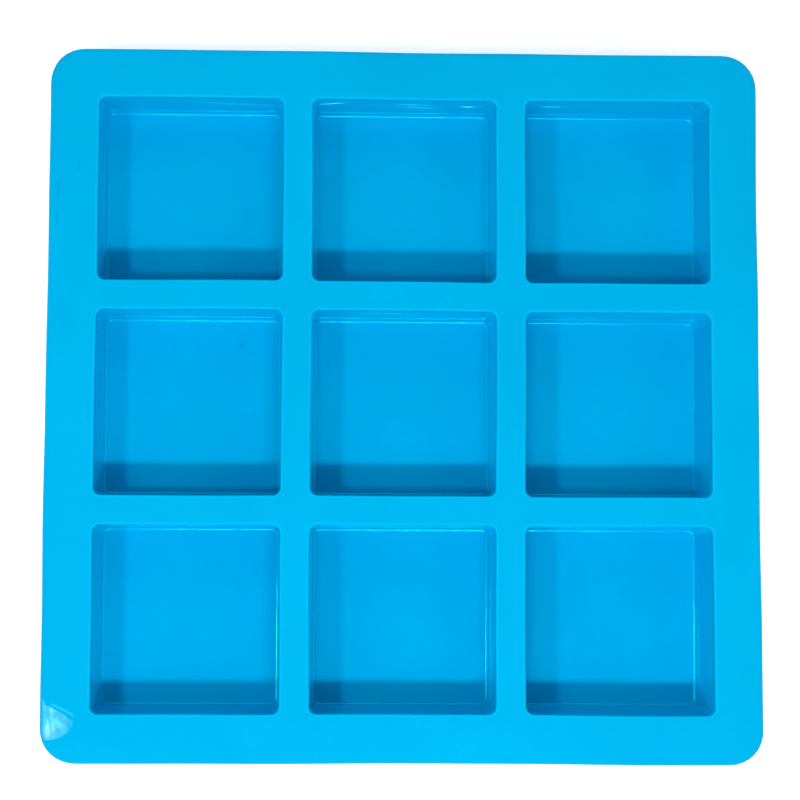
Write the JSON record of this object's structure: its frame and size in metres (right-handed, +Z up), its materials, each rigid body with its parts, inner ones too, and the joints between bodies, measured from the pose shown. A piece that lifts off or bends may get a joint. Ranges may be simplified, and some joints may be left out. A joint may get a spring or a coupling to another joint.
{
  "type": "silicone soap mould",
  "caption": "Flexible square tray mould for casting soap bars: a flat deck with rounded outer corners joins a square grid of deep, open, slightly drafted square cups with flat floors.",
  "frame": {"origin": "on the surface that the mould stands on, under the centre of the middle cup", "axes": "+Z up out of the cups' mouths, +Y from the front row of cups to the back row, +X from the left column to the right column"},
  "size_m": [0.2286, 0.2286, 0.027],
  "materials": {
    "deck_silicone": "satin blue silicone rubber",
    "cup_silicone": "glossy blue silicone rubber"
  },
  "bodies": {
    "root": {"top_deck": "deck_silicone", "cup_back_left": "cup_silicone", "cup_back_centre": "cup_silicone", "cup_back_right": "cup_silicone", "cup_middle_left": "cup_silicone", "cup_middle_centre": "cup_silicone", "cup_middle_right": "cup_silicone", "cup_front_left": "cup_silicone", "cup_front_centre": "cup_silicone", "cup_front_right": "cup_silicone"}
  },
  "joints": []
}
